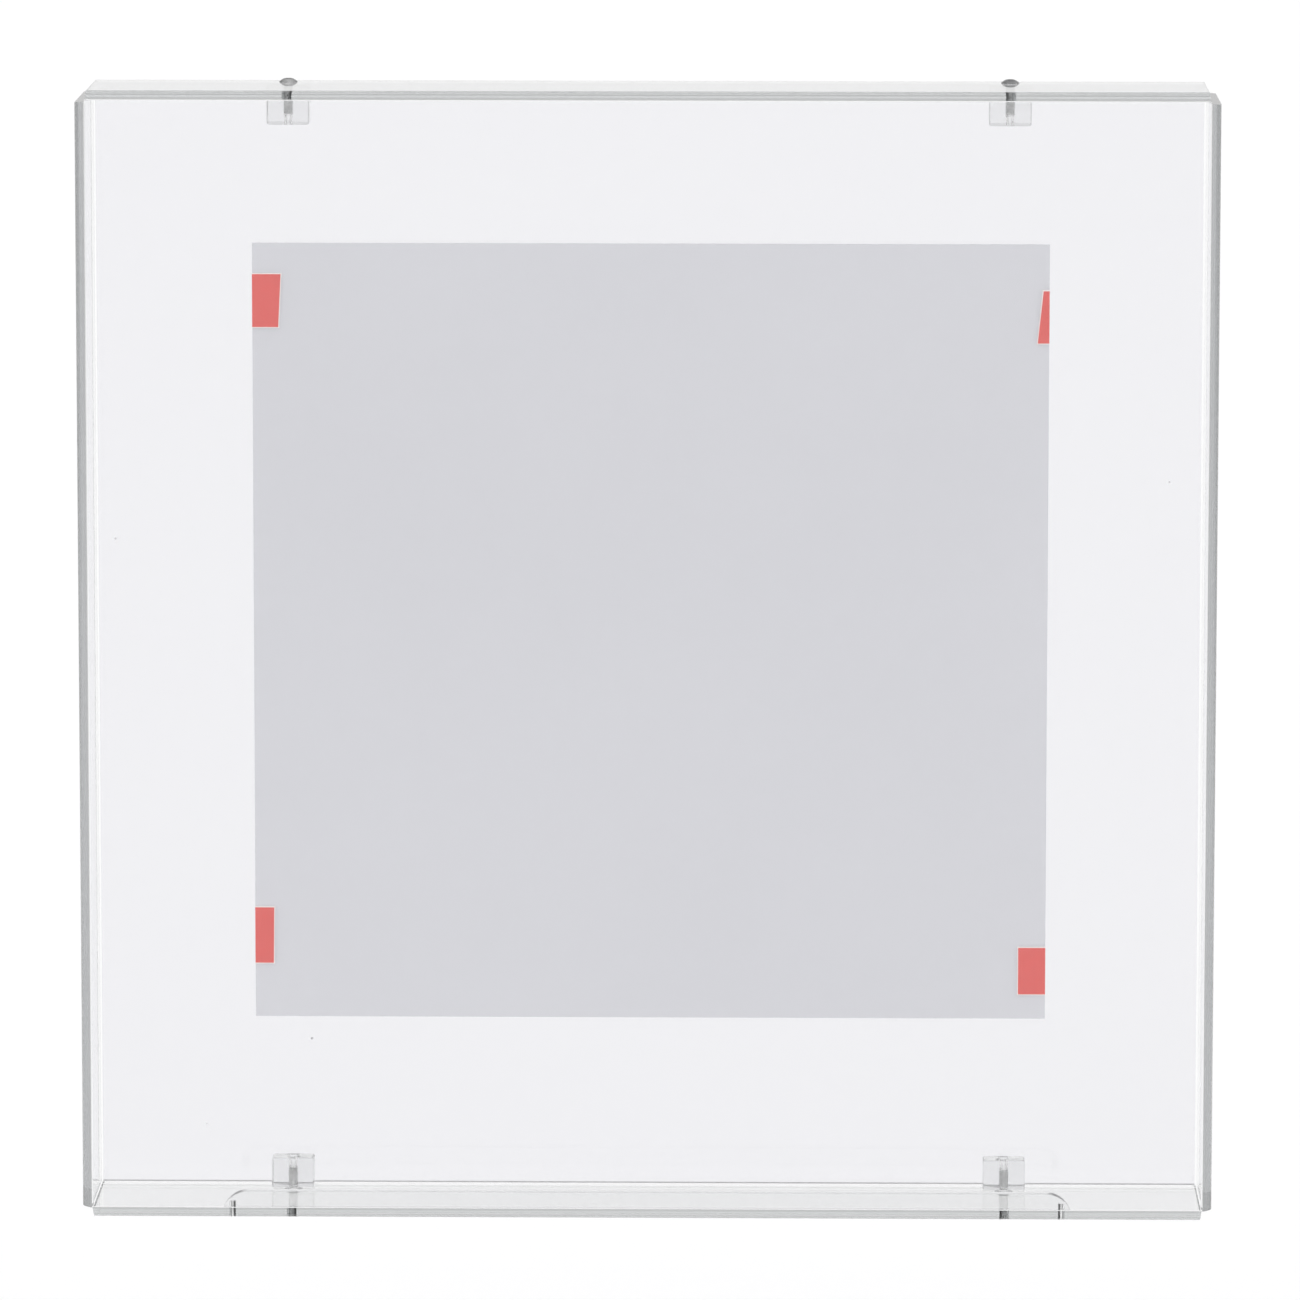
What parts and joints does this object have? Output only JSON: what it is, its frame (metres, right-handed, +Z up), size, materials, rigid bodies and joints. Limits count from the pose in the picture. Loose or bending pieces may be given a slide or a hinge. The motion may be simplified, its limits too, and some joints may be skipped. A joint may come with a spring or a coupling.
{
  "type": "clear box picture frame",
  "caption": "Square wall picture frame: a bent clear cover closes over a clear back panel and is held by small screws in clear blocks.",
  "frame": {"origin": "centre of the flat rear face that lies against the wall", "axes": "+X to the right seen from the front, +Y back towards the wall, +Z up"},
  "size_m": [0.36, 0.045, 0.3624],
  "materials": {
    "clear_cover": "clear polished sheet",
    "clear_panel": "clear polished sheet",
    "clear_blocks": "clear, sawn and polished",
    "clear_lip": "clear polished strip",
    "screw_steel": "plain turned steel",
    "dark_steel": "blackened",
    "grey_sheet": "smooth matt",
    "white_tape": "closed-cell foam",
    "red_liner": "thin film"
  },
  "bodies": {
    "frame": {"front_cover": "clear_cover", "back_panel": "clear_panel", "mounting_sheet": "grey_sheet", "sheet_tape_left": "white_tape", "sheet_tape_right": "white_tape", "rest_lip": "clear_lip", "lip_pin_left": "dark_steel", "lip_pin_right": "dark_steel", "block_top_left": "clear_blocks", "tab_pad_top_left": "white_tape", "tab_liner_top_left": "red_liner", "block_top_right": "clear_blocks", "tab_pad_top_right": "white_tape", "tab_liner_top_right": "red_liner", "block_bottom_left": "clear_blocks", "tab_pad_bottom_left": "white_tape", "tab_liner_bottom_left": "red_liner", "block_bottom_right": "clear_blocks", "tab_pad_bottom_right": "white_tape", "tab_liner_bottom_right": "red_liner"},
    "screw_top_left": {"screw_top_left": "screw_steel"},
    "screw_top_right": {"screw_top_right": "screw_steel"},
    "screw_bottom_left": {"screw_bottom_left": "screw_steel"},
    "screw_bottom_right": {"screw_bottom_right": "screw_steel"}
  },
  "joints": [
    {"name": "screw_top_left_draw", "type": "slide", "parent": "frame", "child": "screw_top_left", "axis": [0, 0, 1], "range_m": [0, 0.012]},
    {"name": "screw_top_right_draw", "type": "slide", "parent": "frame", "child": "screw_top_right", "axis": [0, 0, 1], "range_m": [0, 0.012]},
    {"name": "screw_bottom_left_draw", "type": "slide", "parent": "frame", "child": "screw_bottom_left", "axis": [0, 0, -1], "range_m": [0, 0.012]},
    {"name": "screw_bottom_right_draw", "type": "slide", "parent": "frame", "child": "screw_bottom_right", "axis": [0, 0, -1], "range_m": [0, 0.012]}
  ]
}
